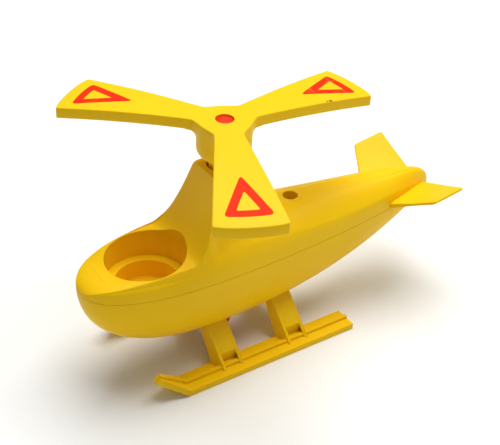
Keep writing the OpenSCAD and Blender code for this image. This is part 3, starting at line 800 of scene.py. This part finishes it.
# a triangular ring of film that follows the blade: the plan point is bowed, then dropped by the
# droop
def buildLabel(index):
    q = labelShape
    base = np.sqrt(q["far"] ** 2 - q["half"] ** 2)
    b = q["border"]
    outer = roundedTriangle([(q["point"], 0), (base, -q["half"]), (base, q["half"])], 1.6)
    inner = roundedTriangle([(q["point"] + 3 * b, 0), (base - b, -q["half"] + 1.55 * b),
                             (base - b, q["half"] - 1.55 * b)], 0.8)
    plan = np.concatenate([mix(outer, inner, t) for t in np.linspace(0, 1, 5)])
    far = unit((plan[:, 0] - q["point"]) / (base - q["point"]))
    plan[:, 0] += 0.55 * far ** 3 * (1 - (plan[:, 1] / q["half"]) ** 2)
    turn = radians(rotorShape["phase"]) + index * 2 * pi / rotorShape["blades"]
    r = np.linalg.norm(plan, axis=1)
    x = plan[:, 0] * cos(turn) - plan[:, 1] * sin(turn)
    y = plan[:, 0] * sin(turn) + plan[:, 1] * cos(turn)
    top = np.column_stack([x, y, hubTop - droopAt(r) + q["rise"]])
    low = np.column_stack([x, y, hubTop - droopAt(r) - q["sink"]])
    n = len(outer)
    size = len(top)
    faces = gridFaces(5, n, closed=True).tolist()
    faces += gridFaces(5, n, start=size, closed=True, flip=True).tolist()
    j = np.arange(n)
    k = (j + 1) % n
    faces += np.stack([j, k, k + size, j + size], -1).tolist()
    e = 4 * n
    faces += np.stack([e + k, e + j, e + j + size, e + k + size], -1).tolist()
    obj = makeMesh("bladeLabel%d" % (index + 1), leaned(np.concatenate([top, low])), faces)
    tidyMesh(obj)
    return obj


shaftShape = {"radius": 2.0, "head": 2.72, "low": 3.2, "dome": 0.28}


def buildShaft():
    s = shaftShape
    top = hubTop - s["dome"]
    profile = [(0, s["low"]), (s["radius"] - 0.3, s["low"]), (s["radius"], s["low"] + 0.3),
               (s["radius"], hubTop - 1.98), (s["head"], hubTop - 1.98), (s["head"], top - 0.5)]
    profile += [(s["head"] * cos(a), top - 0.5 + 0.5 * sin(a)) for a in np.linspace(0.15, pi / 2, 10)]
    obj = lathe("rotorShaft", profile, 72)
    leanObject(obj)
    return obj


def buildKnob():
    profile = [(0, 0.9), (1.2, 0.95), (1.7, 1.2), (2.3, 1.9), (3.2, 3.3), (3.7, 4.6), (3.88, 5.4), (3.9, 5.9),
               (3.85, 6.5), (3.55, 7.05), (2.9, 7.3), (2.02, 7.3), (2.02, 3.1), (0, 3.1)]
    obj = lathe("fingerKnob", profile, 72)
    leanObject(obj)
    return obj


# put the pieces together

def finishPiece(obj, material, body, node, angle=35.0):
    obj.data.materials.clear()
    obj.data.materials.append(material)
    smoothBy(obj, angle)
    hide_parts(node)
    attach(obj, body)
    return obj


def softEdges(obj, width, angle=35.0, segments=3):
    weld = obj.modifiers.new("weld", "WELD")
    weld.merge_threshold = 0.000005
    bevel = obj.modifiers.new("softEdges", "BEVEL")
    bevel.width = width * 0.001
    bevel.segments = segments
    bevel.limit_method = "ANGLE"
    bevel.angle_limit = radians(angle)


# place in metres, radius in metres, colour
rotorNicks = [((0.00166, 0.0188, 0.0740), 0.0011, (0.08, 0.045, 0.004)),
              ((0.00156, 0.0176, 0.0740), 0.0008, (0.30, 0.18, 0.01)),
              ((-0.01774, -0.0346, 0.0730), 0.0006, (0.05, 0.02, 0.004))]

upperYellow = mouldedPlastic("upperYellow", yellowLooks)
bellyYellow = mouldedPlastic("bellyYellow", yellowLooks)
skidYellow = mouldedPlastic("skidYellow", yellowLooks)
rotorYellow = mouldedPlastic("rotorYellow", yellowLooks, rotorNicks)
pinRed = mouldedPlastic("pinRed", redLooks)
labelRed = mouldedPlastic("labelRed", printLooks)
print("materials made")

upper = finishPiece(buildUpperShell(), upperYellow, "airframe", "upper_shell", 30)
softEdges(upper, 0.3, 50)
print("upper shell made,", len(upper.data.polygons), "faces")
belly = finishPiece(buildBellyShell(), bellyYellow, "airframe", "belly_shell", 30)
print("belly shell made,", len(belly.data.polygons), "faces")
finishPiece(buildFins(), upperYellow, "airframe", "tail_fins", 50)
finishPiece(buildRotor(), rotorYellow, "rotor", "rotor", 50)
finishPiece(buildShaft(), pinRed, "rotor", "rotor_shaft")
finishPiece(buildKnob(), pinRed, "rotor", "finger_knob", 50)
for index in range(rotorShape["blades"]):
    finishPiece(buildLabel(index), labelRed, "rotor", "blade_label_%d" % (index + 1))
for side in ("skid_left", "skid_right"):
    skid = frame["nodes"][side]
    for place in skid.material_slots:
        place.material = skidYellow
    softEdges(skid, 0.22, 30, 2)
print("rotor, fins, labels and skids made")


# floor, light

studio = {
    "floorSize": 3.0, "floorTone": (0.90, 0.91, 0.90), "sky": (1.0, 1.0, 1.0), "skyStrength": 0.22,
    "topPlace": (-0.14, 0.24, 0.95), "topPower": 13.0, "topSize": 0.9,
    "sidePlace": (0.9, 0.5, 0.6), "sideSize": 0.5, "sidePower": 0.4,
}


def floorMaterial():
    material = bpy.data.materials.new("paperFloor")
    material.use_nodes = True
    tree = material.node_tree
    shader = tree.nodes["Principled BSDF"]
    where = tree.nodes.new("ShaderNodeTexCoord").outputs["Object"]
    tone = mixColor(tree, noiseNode(tree, where, 3.0), studio["floorTone"],
                    tuple(0.985 * v for v in studio["floorTone"]))
    tree.links.new(tone, shader.inputs["Base Color"])
    shader.inputs["Roughness"].default_value = 0.75
    shader.inputs["Specular IOR Level"].default_value = 0.2
    return material


def buildStudio():
    size = studio["floorSize"]
    corners = [(-size, -size, 0), (size, -size, 0), (size, size, 0), (-size, size, 0)]
    mesh = bpy.data.meshes.new("floor")
    mesh.from_pydata(corners, [], [(0, 1, 2, 3)])
    floor = bpy.data.objects.new("floor", mesh)
    bpy.context.scene.collection.objects.link(floor)
    mesh.materials.append(floorMaterial())
    world = bpy.data.worlds.new("studioSky")
    world.use_nodes = True
    back = world.node_tree.nodes["Background"]
    back.inputs["Color"].default_value = (*studio["sky"], 1)
    back.inputs["Strength"].default_value = studio["skyStrength"]
    bpy.context.scene.world = world
    for name, place, aim, size, power in (
            ("topLight", studio["topPlace"], (0, 0, 0.03), studio["topSize"], studio["topPower"]),
            ("sideLight", studio["sidePlace"], (0, 0, 0.03), studio["sideSize"], studio["sidePower"])):
        data = bpy.data.lights.new(name, "AREA")
        data.shape = "SQUARE"
        data.size = size
        data.energy = power
        light = bpy.data.objects.new(name, data)
        light.location = place
        light.rotation_euler = (Vector(place) - Vector(aim)).to_track_quat("Z", "Y").to_euler()
        bpy.context.scene.collection.objects.link(light)


buildStudio()
bpy.context.scene.view_settings.view_transform = "Standard"
print("studio lit")
